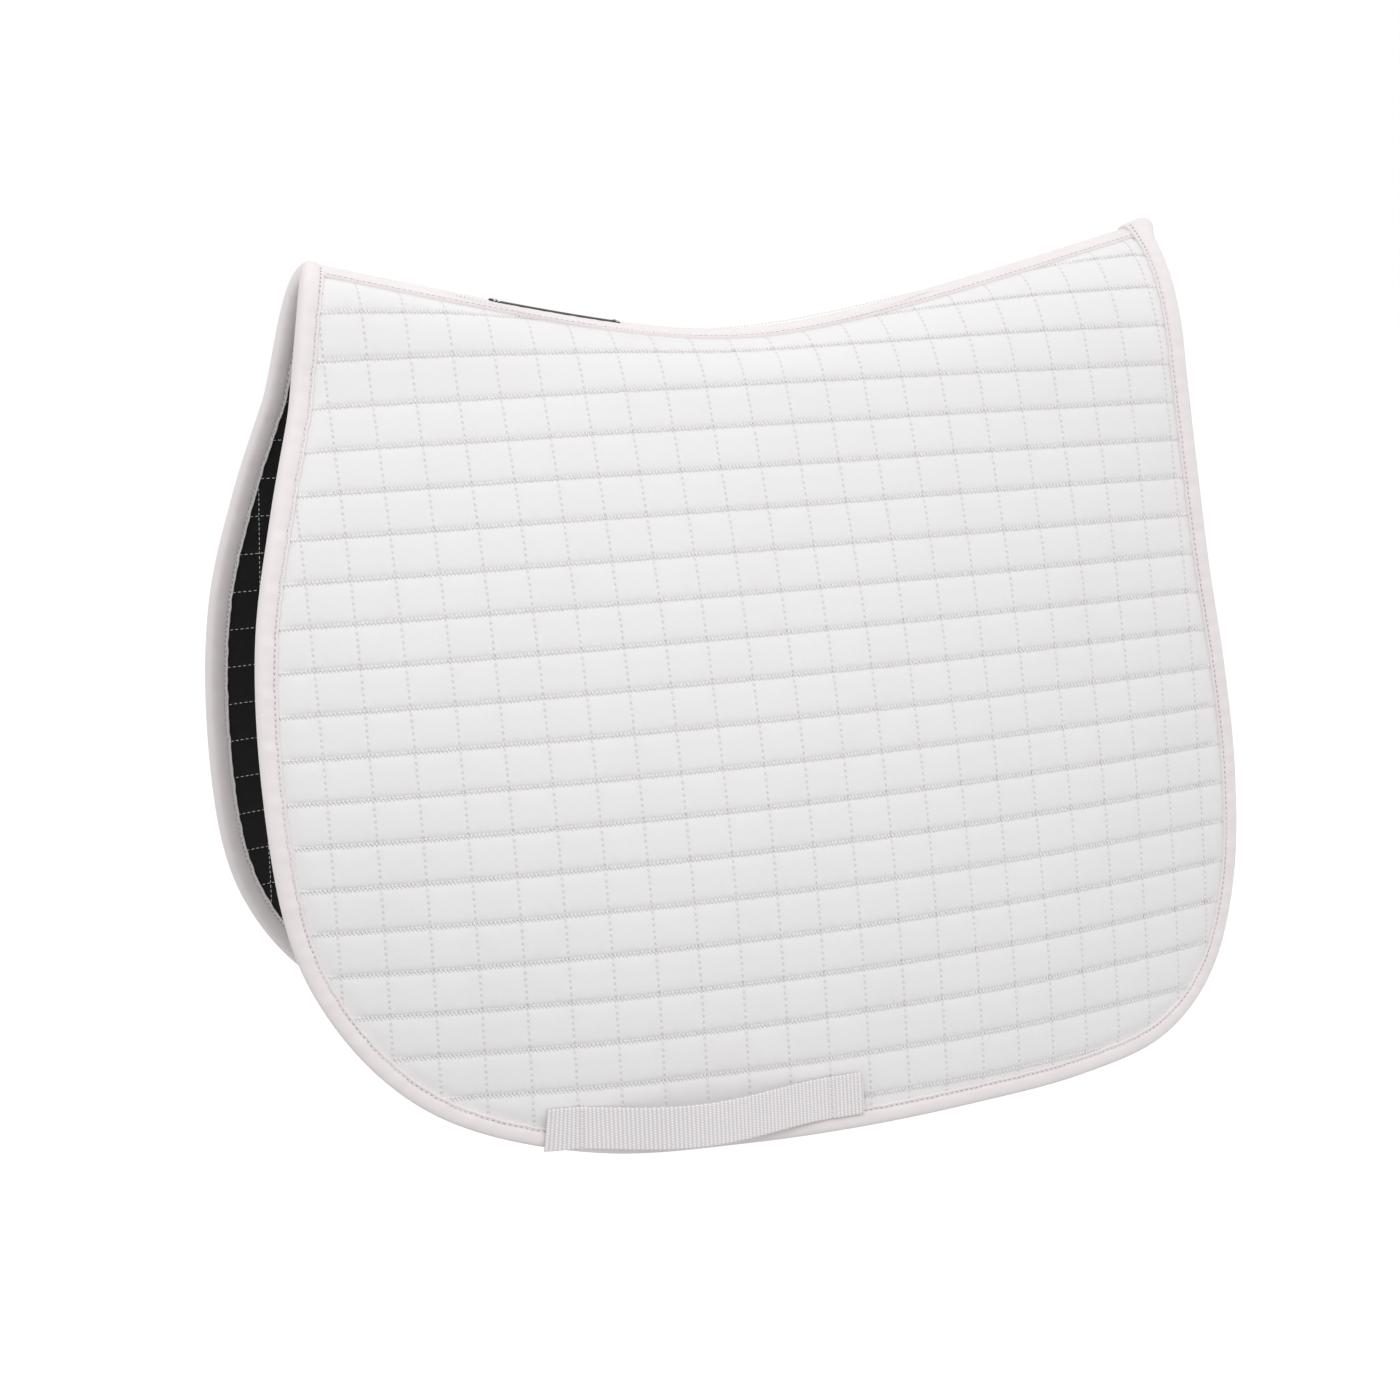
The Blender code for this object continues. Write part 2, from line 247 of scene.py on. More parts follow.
def smooth_line(points, per_stretch=12):
    """A smooth curve through the points, as closely spaced places."""
    points = np.array(points, float)
    ends = np.vstack([points[:1], points, points[-1:]])
    t = np.linspace(0, 1, per_stretch, endpoint=False)[:, None]
    pieces = []
    for a, b, c, d in zip(ends, ends[1:], ends[2:], ends[3:]):
        bend = 2 * a - 5 * b + 4 * c - d
        twist = 3 * (b - c) + d - a
        pieces.append(b + 0.5 * t * ((c - a) + t * (bend + t * twist)))
    return np.vstack(pieces + [points[-1:]])


def even_line(points, step):
    """The same line with places this far apart."""
    far = np.concatenate([[0], np.cumsum(np.linalg.norm(np.diff(points, axis=0), axis=1))])
    at = np.linspace(0, far[-1], max(2, round(far[-1] / step) + 1))
    return np.stack([np.interp(at, far, points[:, k]) for k in range(points.shape[1])], axis=1)


def crown_edge(front, shares):
    """The crown's cut edge over the withers or the loin, at these shares of its length."""
    top, bottom = (WITHER_END, CUT_EDGE[0][0]) if front else (LOIN_END, CUT_EDGE[-1][0])
    u = top + (bottom - top) * shares
    return np.stack([u, FOLD_ROW - crown_length(u) * (1 - shares)], axis=1)


def half_edge(start_share=0.0):
    """The cut edge of one half, from the withers round the flap to the loin, with no kinks."""
    shares = np.linspace(start_share, 0.98, 24)
    front = crown_edge(True, shares)
    rear = crown_edge(False, shares[::-1])
    line = even_line(np.vstack([front, smooth_line(CUT_EDGE), rear]), EDGE_STEP)
    for _ in range(12):
        line[1:-1] = (line[:-2] + 2 * line[1:-1] + line[2:]) / 4
    return line


def inwards(line):
    """The heading into the cloth at each place of a cut edge."""
    heading = unit(np.gradient(line, axis=0))
    return np.stack([heading[:, 1], -heading[:, 0]], axis=1)


def inside(outline, places):
    """Which places lie inside a closed outline."""
    within = np.zeros(len(places), bool)
    x, y = places[:, 0], places[:, 1]
    for (x0, y0), (x1, y1) in zip(outline, np.roll(outline, -1, axis=0)):
        if y0 != y1:
            crosses = (y0 > y) != (y1 > y)
            within ^= crosses & (x < x0 + (y - y0) * (x1 - x0) / (y1 - y0))
    return within


def cloth_outline(inset):
    """The outline of one half's cloth, this far inside its cut edge and off the seam."""
    edge = half_edge()
    edge = edge + inwards(edge) * inset
    u = np.linspace(LOIN_END - inset, WITHER_END + inset, 60)
    seam = np.stack([u, seam_row(u) + inset], axis=1)
    return np.vstack([edge[4:-4], seam])


def new_mesh(name, points, faces, material, cloth=None):
    """A smooth mesh. cloth holds each point's place on its flat cloth, for the material."""
    mesh = bpy.data.meshes.new(name)
    mesh.from_pydata(points.tolist(), [], faces.tolist())
    mesh.shade_smooth()
    mesh.materials.append(material)
    if cloth is not None:
        flat = np.zeros((len(points), 3), np.float32)
        flat[:, : cloth.shape[1]] = cloth
        mesh.attributes.new("cloth", "FLOAT_VECTOR", "POINT").data.foreach_set("vector", flat.ravel())
    piece = bpy.data.objects.new(name, mesh)
    bpy.context.scene.collection.objects.link(piece)
    return piece


def grid_faces(rows, columns, turned=False):
    index = np.arange(rows * columns).reshape(rows, columns)
    corners = [index[:-1, :-1], index[1:, :-1], index[1:, 1:], index[:-1, 1:]]
    if turned:
        corners.reverse()
    return np.stack([corner.ravel() for corner in corners], axis=1)


def strip_piece(name, points, cloth, material, turned=False):
    """A piece from rows and columns of places."""
    rows, columns = points.shape[:2]
    faces = grid_faces(rows, columns, turned)
    return new_mesh(name, points.reshape(-1, 3), faces, material, cloth.reshape(rows * columns, -1))


def row_swell(down):
    """How a puff swells between two rows of stitches: it hangs, so it drops steeply at the foot."""
    head = np.sin(math.pi / 2 * np.clip(down / 0.22, 0, 1)) ** 0.6
    foot = (1 - np.clip((down - 0.62) / 0.38, 0, 1) ** 2.6) ** 0.65
    return head * foot


def row_pinch(down):
    """How far the cloth moves down: it is drawn in to the nearer row of stitches."""
    cells = np.minimum(down, 1 - down) * CELLS
    return np.sign(down - 0.5) * PINCH * cells * np.exp(1 - cells)


def levelled(rise):
    """The cloth's height once the wadding's even thickness holds it."""
    return FULL_RISE * np.tanh(rise / FULL_RISE)


def sewn_rise(places, share):
    """How far the sewn lines swell at these places; share is 1 for the cover."""
    at = np.linspace(0, 1, CELLS + 1)
    down = at * SQUARE + row_pinch(at) * share
    return np.interp(places[:, 1] % SQUARE, down, levelled(row_swell(at) * COLUMN_RISE) * share)


def simulated_puffs():
    """Squares of cloth, sewn down along their edges, swelled by the wadding in a cloth simulation.

    It gives each square's moves along u, along v and off the cloth, at (CELLS + 1) squared places.
    """
    cells = TILE * CELLS
    index = np.arange(cells + 1)
    columns, rows = np.meshgrid(index, index)
    rise = row_swell((rows % CELLS) / CELLS) * COLUMN_RISE / STEP
    ease = np.random.default_rng(SEED).normal(0, 0.02, rise.shape)
    flat = np.stack([columns, 0 * rise, -rows], axis=-1) * STEP * SIM_SCALE
    rest = flat + np.stack([ease, -rise, ease[::-1]], axis=-1) * STEP * SIM_SCALE
    on_line = (columns % CELLS == 0) | (rows % CELLS == 0)
    lifted = np.stack([0 * rise, rise, 0 * rise], axis=-1) * STEP * SIM_SCALE
    rest[on_line] = (flat - lifted)[on_line]
    flat, rest = flat.reshape(-1, 3), rest.reshape(-1, 3)
    patch = new_mesh("puff_patch", rest, grid_faces(cells + 1, cells + 1), new_material("puff_patch"))
    sewn = patch.vertex_groups.new(name="sewn")
    sewn.add(np.flatnonzero(on_line.ravel()).tolist(), 1.0, "REPLACE")
    cloth = patch.modifiers.new("wadding", "CLOTH")
    cloth.settings.vertex_group_mass = "sewn"
    cloth.settings.quality = 8
    cloth.settings.mass = 0.3
    cloth.settings.tension_stiffness = 12
    cloth.settings.compression_stiffness = 12
    cloth.settings.bending_stiffness = 0.2
    cloth.settings.shrink_min = -0.02
    cloth.settings.use_pressure = True
    cloth.settings.uniform_pressure_force = 4
    cloth.settings.effector_weights.gravity = 0.4
    for frame_number in range(1, SIM_FRAMES + 1):
        bpy.context.scene.frame_set(frame_number)
    graph = bpy.context.evaluated_depsgraph_get()
    moved = np.array([v.co for v in patch.evaluated_get(graph).data.vertices])
    bpy.context.scene.frame_set(1)
    bpy.data.objects.remove(patch, do_unlink=True)
    moves = (moved - flat) / SIM_SCALE
    moves = np.stack([moves[:, 0], -moves[:, 2], -moves[:, 1]], axis=1)
    moves = np.clip(moves, -PUFF_CAP, PUFF_CAP).reshape(cells + 1, cells + 1, 3)
    moves[:, :, 1] += row_pinch((rows % CELLS) / CELLS)
    moves[:, :, 2] = levelled(moves[:, :, 2])
    squares = []
    for row in range(0, cells, CELLS):
        for column in range(0, cells, CELLS):
            squares.append(moves[row:row + CELLS + 1, column:column + CELLS + 1])
    return np.array(squares)


def quilt_grid():
    """The cloth's places as whole (column, row) numbers, its faces, and its fullness at each."""
    columns, rows = [
        np.arange(round(first / STEP), round(last / STEP) + 1) for first, last in (CLOTH_ALONG, CLOTH_DOWN)
    ]
    across, down = np.meshgrid(columns, rows)
    numbers = np.stack([across.ravel(), down.ravel()], axis=1)
    kept = inside(cloth_outline(CLOTH_INSET), numbers * STEP)
    faces = grid_faces(len(rows), len(columns))
    faces = faces[kept[faces].all(axis=1)]
    used, faces = np.unique(faces, return_inverse=True)
    numbers = numbers[used]
    return numbers, faces.reshape(-1, 4), fullness(numbers * STEP)


def square_moves(numbers, puffs, random):
    """Each place's move, from one of the puffs, picked at random for each square."""
    square = numbers // CELLS
    place = numbers % CELLS
    pick = random.integers(len(puffs), size=(PICKS, PICKS))
    chosen = pick[square[:, 1] % PICKS, square[:, 0] % PICKS]
    return puffs[chosen, place[:, 1], place[:, 0]]


def soft_waves(u, v):
    """The slow unevenness of hanging cloth."""
    return 0.0006 * np.sin(u * 23 + 1.3) * np.sin(v * 19 + 0.4) + 0.0003 * np.sin(u * 51 + v * 37)


def smoothstep(value):
    value = np.clip(value, 0, 1)
    return value * value * (3 - 2 * value)


def fullness(places):
    """How full the quilting is: 0 where a binding or a tape holds it flat, 1 well inside."""
    edge = even_line(half_edge(), 0.006)
    gaps = [np.hypot(places[:, 0] - x, places[:, 1] - y) for x, y in edge]
    from_edge = np.min(gaps, axis=0)
    from_seam = places[:, 1] - seam_row(places[:, 0])
    held = BINDING_WIDTH - 0.002
    return smoothstep((np.minimum(from_edge, from_seam) - held) / FLAT_MARGIN)


def new_material(name):
    material = bpy.data.materials.new(name)
    material.use_nodes = True
    return material


def quilted_cover(word, side, grid, puffs, material):
    numbers, faces, full = grid
    moves = square_moves(numbers, puffs, np.random.default_rng(SEED + side)) * full[:, None]
    u = numbers[:, 0] * STEP + moves[:, 0]
    v = numbers[:, 1] * STEP + moves[:, 1]
    points = drape(side, u, v, moves[:, 2] - LINE_DEPTH + soft_waves(u, v) * full)
    faces = faces if side < 0 else faces[:, ::-1]
    return new_mesh(word + "_quilted_cover", points, faces, material, numbers * STEP)


def quilted_lining(word, side, grid, puffs, material):
    numbers, faces, full = grid
    moves = square_moves(numbers, puffs, np.random.default_rng(SEED + 5 + side))
    moves = moves * full[:, None] * LINING_SHARE
    u = numbers[:, 0] * STEP + moves[:, 0]
    v = numbers[:, 1] * STEP + moves[:, 1]
    lift = -PAD + LINE_DEPTH - moves[:, 2] + soft_waves(u, v) * full
    points = drape(side, u, v, lift)
    faces = faces[:, ::-1] if side < 0 else faces
    return new_mesh(word + "_quilted_lining", points, faces, material, numbers * STEP)


# One stitch: a spindle with two rings of four corners.
STITCH_SHAPE = np.array(
    [(-0.5, 0, 0)]
    + [(-0.28, side, up) for side, up in ((1, 0), (0, 1), (-1, 0), (0, -1))]
    + [(0.28, side, up) for side, up in ((1, 0), (0, 1), (-1, 0), (0, -1))]
    + [(0.5, 0, 0)]
)
STITCH_FACES = np.array(
    [(0, 2 + k if k < 3 else 1, 1 + k) for k in range(4)]
    + [(1 + k, 2 + k if k < 3 else 1, 5 + k) for k in range(4)]
    + [(2 + k if k < 3 else 1, 6 + k if k < 3 else 5, 5 + k) for k in range(4)]
    + [(9, 5 + k, 6 + k if k < 3 else 5) for k in range(4)]
)


def stitches(name, middles, ends, up, width, material):
    """A row of stitches as one piece: ends points from each stitch's middle to its end."""
    length = np.linalg.norm(ends, axis=1, keepdims=True) * 2
    along = unit(ends)
    up = unit(up - along * (up * along).sum(axis=1, keepdims=True))
    across = np.cross(up, along)
    shape = STITCH_SHAPE[None]
    half_width = np.broadcast_to(width, len(middles))[:, None, None] / 2
    points = (
        middles[:, None]
        + along[:, None] * shape[..., :1] * length[:, None]
        + across[:, None] * shape[..., 1:2] * half_width
        + up[:, None] * shape[..., 2:] * half_width
    )
    faces = STITCH_FACES[None] + (np.arange(len(middles)) * len(STITCH_SHAPE))[:, None, None]
    return new_mesh(name, points.reshape(-1, 3), faces.reshape(-1, 3), material)


def stitch_line(side, line, height, gap, slant=0.0):
    """The middles, half lengths and up headings of stitches between the places of a line.

    height gives the lift at any places, gap is the share of the pitch left open, and slant
    tips each stitch down the cloth.
    """
    middle = (line[:-1] + line[1:]) / 2
    half = (line[1:] - line[:-1]) / 2 * (1 - gap) + np.array([0, slant / 2])
    a = drape(side, *(middle - half).T, height(middle - half))
    b = drape(side, *(middle + half).T, height(middle + half))
    raised = drape(side, *middle.T, height(middle) + UP_STEP)
    return (a + b) / 2, (b - a) / 2, raised - (a + b) / 2


def joined(lines):
    return [np.vstack(parts) for parts in zip(*lines)]


def quilt_lines():
    """The sewing lines as (u, v) places and their pitch, cut off where the binding covers them."""
    outline = cloth_outline(BINDING_WIDTH - 0.001)
    lines = []
    for row in range(-11, 11):
        along = np.arange(*SEWN_ALONG, ROW_PITCH)
        lines.append((np.stack([along, 0 * along + row * SQUARE], axis=1), ROW_PITCH))
    for column in range(-12, 13):
        down = np.arange(*SEWN_DOWN, COLUMN_PITCH)
        lines.append((np.stack([0 * down + column * SQUARE, down], axis=1), COLUMN_PITCH))
    kept = []
    for places, pitch in lines:
        within = places[inside(outline, places)]
        if len(within) > 2:
            kept.append((within, pitch))
    return kept


def quilt_stitches(word, side, face, material):
    """The quilting thread: short slanting stitches along the rows, longer ones down the columns."""
    on_cover = face == "cover"
    sign, share, base = (1, 1.0, -LINE_DEPTH) if on_cover else (-1, LINING_SHARE, LINE_DEPTH - PAD)
    lines, widths = [], []
    for places, pitch in quilt_lines():
        slanting = on_cover and pitch == ROW_PITCH
        slant, width, gap = (ROW_SLANT, ROW_THREAD, ROW_OPEN_SHARE) if slanting else (0.0, THREAD, OPEN_SHARE)
        line = even_line(places, pitch if on_cover else LINING_PITCH)
        if slanting:
            line[:, 1] += ROW_SLANT / 2 - ROW_REACH
        clear = width / 4 + (ROW_CLEAR if slanting else 0)
        full = fullness((line[:-1] + line[1:]) / 2)

        def height(places):
            swell = (sign * sewn_rise(places, share) + soft_waves(*places.T)) * full
            return base + swell + sign * clear

        lines.append(stitch_line(side, line, height, gap, slant))
        widths.append(np.full(len(line) - 1, width))
    return stitches(f"{word}_{face}_quilting_thread", *joined(lines), np.concatenate(widths), material)


def binding_profile():
    """The folded binding's section, as (inset from the cut edge, lift off the outer face)."""
    outer = [(0.0122, -0.0014), (0.0122, 0.0004), (0.0116, 0.0011), (0.0103, 0.0006), (0.0092, 0.0013)]
    outer += [(0.0070, 0.0019), (0.0040, 0.0019), (0.0016, 0.0009), (0.0003, -0.0014)]
    inner = [(inset, -PAD - lift) for inset, lift in reversed(outer)]
    return smooth_line(outer + [(0.0, -PAD / 2)] + inner, 3)


def bound_edge(name, side, line, material):
    """Binding folded round a cut edge of one half."""
    profile = binding_profile()
    into = inwards(line)
    far = np.arange(len(line)) * EDGE_STEP
    waver = 0.00022 * np.sin(far * 310) * np.sin(far * 97 + 1) + 0.00015 * np.sin(far * 611 + 2)
    rows, cloth = [], []
    for inset, lift in profile:
        lip = inset / BINDING_WIDTH
        places = line + into * (inset + waver * lip)[:, None]
        puff = waver * math.sin(math.pi * min(lip, 1)) * 1.2
        rows.append(drape(side, *places.T, lift + (puff if lift > -PAD / 2 else -puff)))
        cloth.append(np.stack([far, 0 * far + inset], axis=1))
    points, cloth = np.stack(rows, axis=1), np.stack(cloth, axis=1)
    return strip_piece(name, points, cloth, material, turned=side > 0)


def binding_thread(name, side, line, material):
    """The stitches that close a binding, on its outer and its inner side."""
    groove = line + inwards(line) * BINDING_GROOVE
    groove = even_line(groove, EDGE_PITCH)
    both = [
        stitch_line(side, groove, lambda places: lift + 0 * places[:, 0], OPEN_SHARE)
        for lift in (BINDING_LIFT, -PAD - BINDING_LIFT)
    ]
    return stitches(name, *joined(both), THREAD * 1.15, material)


def arch_binding(name, front, material):
    """The binding where it passes over the spine; the rear one ends in a bulky folded corner."""
    shares = np.linspace(-ARCH_SHARE, ARCH_SHARE, 49)
    halves = crown_edge(front, np.abs(shares))
    off = (halves[:, 1] - seam_row(halves[:, 0])) * np.sign(shares)
    sign = 1 if front else -1
    corner = np.exp(-((off / 0.014) ** 2))
    fold = 0 * off if front else np.exp(-(((np.abs(off) - 0.009) / 0.0022) ** 2))
    bulk = 0.0006 if front else 0.0028
    rows, cloth = [], []
    for inset, lift in binding_profile():
        outward = (0.0 if front else CORNER_REACH) * corner * (1 - inset / BINDING_WIDTH)
        u = halves[:, 0] + sign * (inset - outward)
        raised = bulk * corner - 0.0007 * fold if lift > -PAD / 2 else 0
        rows.append(over_seam(u, off, lift + raised + 0 * off))
        cloth.append(np.stack([off, 0 * off + inset], axis=1))
    points, cloth = np.stack(rows, axis=1), np.stack(cloth, axis=1)
    return strip_piece(name, points, cloth, material, turned=not front)


def label_window(u):
    """1 along the label and 0 away from it."""
    return smoothstep((u - LABEL_FRONT) / LABEL_EASE + 1) * smoothstep((LABEL_REAR - u) / LABEL_EASE + 1)


def spine_tape(name, ends, half_width, base, sign, material):
    """A tape along the seam, sewn down near both edges, with a channel for the label."""
    u = np.linspace(*ends, 260)
    window = label_window(u) if sign > 0 else 0 * u
    half = [(share, plain, beside) for (share, plain), (_, beside) in zip(TAPE_PLAIN, TAPE_BESIDE_LABEL)]
    half += [(share, height, height) for share, height in TAPE_LIP]
    across = [(-share, plain, beside) for share, plain, beside in reversed(half[1:])] + half
    wrinkle = 0.00012 * np.sin(u * 700) * np.sin(u * 190 + 1)
    rows, cloth = [], []
    for share, plain, beside in across:
        lift = (plain + (beside - plain) * window) * 0.001 + wrinkle
        off = share * half_width + 0 * u
        rows.append(over_seam(u, off, base + sign * lift))
        cloth.append(np.stack([u, off], axis=1))
    points, cloth = np.stack(rows, axis=1), np.stack(cloth, axis=1)
    return strip_piece(name, points, cloth, material, turned=sign > 0)


def seam_stitches(name, ends, offs, lift, material, pitch=EDGE_PITCH, width=THREAD * 1.1):
    """Stitches along the spine, at these distances from the seam."""
    lines = []
    for off in offs:
        u = np.arange(*ends, pitch)
        start = over_seam(u + pitch * 0.15, off + 0 * u, lift + 0 * u)
        end = over_seam(u + pitch * 0.85, off + 0 * u, lift + 0 * u)
        raised = over_seam(u + pitch * 0.5, off + 0 * u, lift + UP_STEP + 0 * u)
        lines.append(((start + end) / 2, (end - start) / 2, raised - (start + end) / 2))
    return stitches(name, *joined(lines), width, material)


def strap_places(side, along, off, lift):
    """Places on the girth strap, which bulges and droops between its sewn ends."""
    front, rear = np.array(STRAP_FRONT), np.array(STRAP_REAR)
    heading = (rear - front) / STRAP_LENGTH
    tab = STRAP_TAB / STRAP_LENGTH
    free = np.clip((along - tab) / (1 - 2 * tab), 0, 1)
    bulge = STRAP_BULGE * np.sin(math.pi * free) ** 2
    droop = STRAP_DROOP * np.sin(math.pi * free**0.62) ** 1.5
    skew = STRAP_SKEW * off / STRAP_WIDTH * np.clip(1 - 6 * along, 0, 1)
    place = front + (rear - front) * along[..., None]
    place = place + np.array([-heading[1], heading[0]]) * off[..., None]
    return drape(side, place[..., 0] - skew, place[..., 1] + droop, lift + bulge)


def girth_strap(name, side, material):
    """Ribbed webbing: ribs across the strap, each a column of small knots."""
    along = np.linspace(0, 1, RIB_STEPS * round(STRAP_LENGTH / RIB_PITCH) + 1)
    off = np.linspace(-0.5, 0.5, 101) * STRAP_WIDTH
    place, across = np.meshgrid(along, off, indexing="ij")
    far = place * STRAP_LENGTH
    rib = np.abs(np.sin(math.pi * far / RIB_PITCH)) ** 0.7
    turn = np.floor(far / RIB_PITCH) % 2
    knot = 0.5 + 0.5 * np.sin(2 * math.pi * (across / KNOT_PITCH + turn / 2))
    edge = np.clip((STRAP_WIDTH / 2 - np.abs(across)) / 0.0008, 0, 1)
    tack = np.exp(-((np.minimum(far, STRAP_LENGTH - far) - STRAP_TAB) / 0.0012) ** 2)
    relief = rib * (0.55 + 0.45 * knot) * RIB_RELIEF * edge - TACK_DEPTH * tack
    outer = strap_places(side, place, across, STRAP_TOP + relief)
    inner = strap_places(side, place, across, STRAP_UNDER + 0 * relief)
    points = np.concatenate([outer, inner[:, ::-1], outer[:, :1]], axis=1)
    flat = np.stack([far, across], axis=-1)
    cloth = np.concatenate([flat, flat[:, ::-1], flat[:, :1]], axis=1)
    return strip_piece(name, points, cloth, material, turned=side > 0)


def strap_thread(name, side, at_front, material):
    """Two rows of stitches across one end of a strap, and one along its very end."""
    lift = STRAP_TOP + 0.0005
    lines = []
    for far in (0.0035, STRAP_TAB - 0.0015, STRAP_TAB + 0.0005):
        off = np.arange(-0.0115, 0.0105, 0.0026)
        along = (far if at_front else STRAP_LENGTH - far) / STRAP_LENGTH + 0 * off
        start = strap_places(side, along, off, lift)
        end = strap_places(side, along, off + 0.0019, lift)
        raised = strap_places(side, along, off, lift + UP_STEP)
        lines.append(((start + end) / 2, (end - start) / 2, raised - start))
    return stitches(name, *joined(lines), THREAD * 1.2, material)


def spine_label(name, material):
    """A blank woven label, lying along the seam."""
    off = np.array([-1, -0.96, -0.5, 0, 0.5, 0.96, 1]) * LABEL_WIDTH / 2
    height = np.array([0.2, 0.9, 1.15, 1.3, 1.15, 0.9, 0.2]) * 0.0005
    u = np.linspace(LABEL_FRONT, LABEL_REAR, 60)
    fold = 0.0003 * np.clip(1 - np.minimum(u - u[0], u[-1] - u) / 0.004, 0, 1) ** 0.3
    rows = [over_seam(u, place + 0 * u, 0.0010 + lift + fold) for place, lift in zip(off, height)]
    cloth = [np.stack([u, 0 * u + place], axis=1) for place in off]
    return strip_piece(name, np.stack(rows, axis=1), np.stack(cloth, axis=1), material, turned=True)


class Nodes:
    """Short ways to make a material's nodes."""

    def __init__(self, material):
        self.tree = material.node_tree
        self.shader = self.tree.nodes["Principled BSDF"]
        self.cloth = self.add("ShaderNodeAttribute", attribute_name="cloth").outputs["Vector"]

    def add(self, kind, **settings):
        node = self.tree.nodes.new(kind)
        for name, value in settings.items():
            setattr(node, name, value)
        return node

    def fill(self, socket, value):
        if isinstance(value, bpy.types.NodeSocket):
            self.tree.links.new(value, socket)
        else:
            socket.default_value = value

    def math(self, operation, *values):
        node = self.add("ShaderNodeMath", operation=operation)
        for socket, value in zip(node.inputs, values):
            self.fill(socket, value)
        return node.outputs[0]

    def axes(self):
        node = self.add("ShaderNodeSeparateXYZ")
        self.fill(node.inputs[0], self.cloth)
        return node.outputs[0], node.outputs[1]

    def noise(self, scale, detail=3.0, stretch=(1, 1, 1)):
        mapping = self.add("ShaderNodeMapping")
        self.fill(mapping.inputs["Vector"], self.cloth)
        mapping.inputs["Scale"].default_value = stretch
        node = self.add("ShaderNodeTexNoise")
        self.fill(node.inputs["Vector"], mapping.outputs[0])
        node.inputs["Scale"].default_value = scale
        node.inputs["Detail"].default_value = detail
        return node.outputs["Fac"]

    def ridges(self, value, pitch):
        """0 to 1 to 0 across each pitch."""
        wave = self.math("SINE", self.math("MULTIPLY", value, 2 * math.pi / pitch))
        return self.math("MULTIPLY_ADD", wave, 0.5, 0.5)

    def near_line(self, value, reach):
        """1 on the quilting lines of this direction, falling to 0 at this reach."""
        return self.fade(self.math("PINGPONG", value, SQUARE / 2), reach)

    def fade(self, distance, reach):
        """1 at no distance, falling to 0 at this reach."""
        return self.math("MAXIMUM", self.math("SUBTRACT", 1.0, self.math("DIVIDE", distance, reach)), 0.0)

    def mix(self, factor, first, second):
        node = self.add("ShaderNodeMix", data_type="RGBA")
        self.fill(node.inputs["Factor"], factor)
        self.fill(node.inputs[6], first)
        self.fill(node.inputs[7], second)
        return node.outputs[2]

    def bump(self, height, distance, strength=1.0, normal=None):
        node = self.add("ShaderNodeBump")
        node.inputs["Strength"].default_value = strength
        node.inputs["Distance"].default_value = distance
        self.fill(node.inputs["Height"], height)
        if normal is not None:
            self.fill(node.inputs["Normal"], normal)
        return node.outputs[0]

    def finish(self, colour, roughness, normal, sheen=0.0, sheen_roughness=0.5, specular=0.5):
        self.fill(self.shader.inputs["Base Color"], colour)
        self.fill(self.shader.inputs["Roughness"], roughness)
        self.fill(self.shader.inputs["Normal"], normal)
        self.shader.inputs["Sheen Weight"].default_value = sheen
        self.shader.inputs["Sheen Roughness"].default_value = sheen_roughness
        self.shader.inputs["Specular IOR Level"].default_value = specular


def weave(nodes, pitch):
    """A plain weave's height: threads over and under each other."""
    u, v = nodes.axes()
    return nodes.math("MULTIPLY", nodes.ridges(u, pitch), nodes.ridges(v, pitch))


